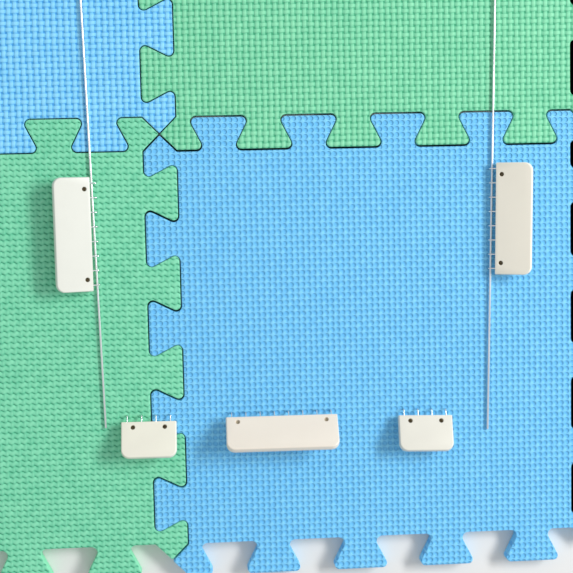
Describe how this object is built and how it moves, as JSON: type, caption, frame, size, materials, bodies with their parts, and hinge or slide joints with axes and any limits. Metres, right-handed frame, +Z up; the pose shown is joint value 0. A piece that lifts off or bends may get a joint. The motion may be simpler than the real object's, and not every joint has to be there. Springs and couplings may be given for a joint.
{
  "type": "blocking mats",
  "caption": "Interlocking foam blocking mats with combs of bent pins pushed into the foam over straight steel blocking wires.",
  "frame": {"origin": "on the underside, below the corner where the four mats meet, which is the middle of the assembly's footprint", "axes": "+Z up through the foam's thickness, +X to the right along the front edge, +Y towards the back"},
  "size_m": [0.6224, 0.6229, 0.0313],
  "materials": {
    "foam_green": "matte closed-cell foam with a woven emboss",
    "foam_blue": "matte closed-cell foam with a woven emboss",
    "comb_plastic": "satin moulded",
    "pin_steel": "drawn, bright",
    "wire_steel": "drawn, bright"
  },
  "bodies": {
    "mat_back_left": {"mat_back_left": "foam_blue"},
    "mat_back_right": {"mat_back_right": "foam_green"},
    "mat_front_left": {"mat_front_left": "foam_green"},
    "mat_front_right": {"mat_front_right": "foam_blue"},
    "comb_left": {"comb_left_body": "comb_plastic", "comb_left_pin_1": "pin_steel", "comb_left_pin_2": "pin_steel", "comb_left_pin_3": "pin_steel", "comb_left_pin_4": "pin_steel", "comb_left_pin_5": "pin_steel", "comb_left_pin_6": "pin_steel", "comb_left_pin_7": "pin_steel", "comb_left_pin_8": "pin_steel"},
    "comb_right": {"comb_right_body": "comb_plastic", "comb_right_pin_1": "pin_steel", "comb_right_pin_2": "pin_steel", "comb_right_pin_3": "pin_steel", "comb_right_pin_4": "pin_steel", "comb_right_pin_5": "pin_steel", "comb_right_pin_6": "pin_steel", "comb_right_pin_7": "pin_steel", "comb_right_pin_8": "pin_steel"},
    "comb_front_left": {"comb_front_left_body": "comb_plastic", "comb_front_left_pin_1": "pin_steel", "comb_front_left_pin_2": "pin_steel", "comb_front_left_pin_3": "pin_steel", "comb_front_left_pin_4": "pin_steel"},
    "comb_front_middle": {"comb_front_middle_body": "comb_plastic", "comb_front_middle_pin_1": "pin_steel", "comb_front_middle_pin_2": "pin_steel", "comb_front_middle_pin_3": "pin_steel", "comb_front_middle_pin_4": "pin_steel", "comb_front_middle_pin_5": "pin_steel", "comb_front_middle_pin_6": "pin_steel", "comb_front_middle_pin_7": "pin_steel", "comb_front_middle_pin_8": "pin_steel"},
    "comb_front_right": {"comb_front_right_body": "comb_plastic", "comb_front_right_pin_1": "pin_steel", "comb_front_right_pin_2": "pin_steel", "comb_front_right_pin_3": "pin_steel", "comb_front_right_pin_4": "pin_steel"},
    "wire_left": {"wire_left": "wire_steel"},
    "wire_right": {"wire_right": "wire_steel"}
  },
  "joints": [
    {"name": "mat_back_left_lift", "type": "slide", "parent": "mat_back_right", "child": "mat_back_left", "axis": [0, 0, 1], "range_m": [0, 0.03]},
    {"name": "mat_front_left_lift", "type": "slide", "parent": "mat_back_left", "child": "mat_front_left", "axis": [0, 0, 1], "range_m": [0, 0.03]},
    {"name": "mat_front_right_lift", "type": "slide", "parent": "mat_front_left", "child": "mat_front_right", "axis": [0, 0, 1], "range_m": [0, 0.03]},
    {"name": "comb_left_pull", "type": "slide", "parent": "mat_front_left", "child": "comb_left", "axis": [0.309, 0.0005, 0.9511], "range_m": [0, 0.025]},
    {"name": "comb_right_pull", "type": "slide", "parent": "mat_front_right", "child": "comb_right", "axis": [-0.3583, 0.0069, 0.9336], "range_m": [0, 0.025]},
    {"name": "comb_front_left_pull", "type": "slide", "parent": "mat_front_right", "child": "comb_front_left", "axis": [0.0034, 0.3907, 0.9205], "range_m": [0, 0.025]},
    {"name": "comb_front_middle_pull", "type": "slide", "parent": "mat_front_right", "child": "comb_front_middle", "axis": [0.0032, 0.6157, 0.788], "range_m": [0, 0.025]},
    {"name": "comb_front_right_pull", "type": "slide", "parent": "mat_front_right", "child": "comb_front_right", "axis": [0.0111, 0.3744, 0.9272], "range_m": [0, 0.025]},
    {"name": "wire_left_slide", "type": "slide", "parent": "mat_front_left", "child": "wire_left", "axis": [-0.0237, 0.9997, 0], "range_m": [-0.1, 0.18]},
    {"name": "wire_right_slide", "type": "slide", "parent": "mat_front_right", "child": "wire_right", "axis": [0.0255, 0.9997, 0], "range_m": [-0.09, 0.19]}
  ]
}
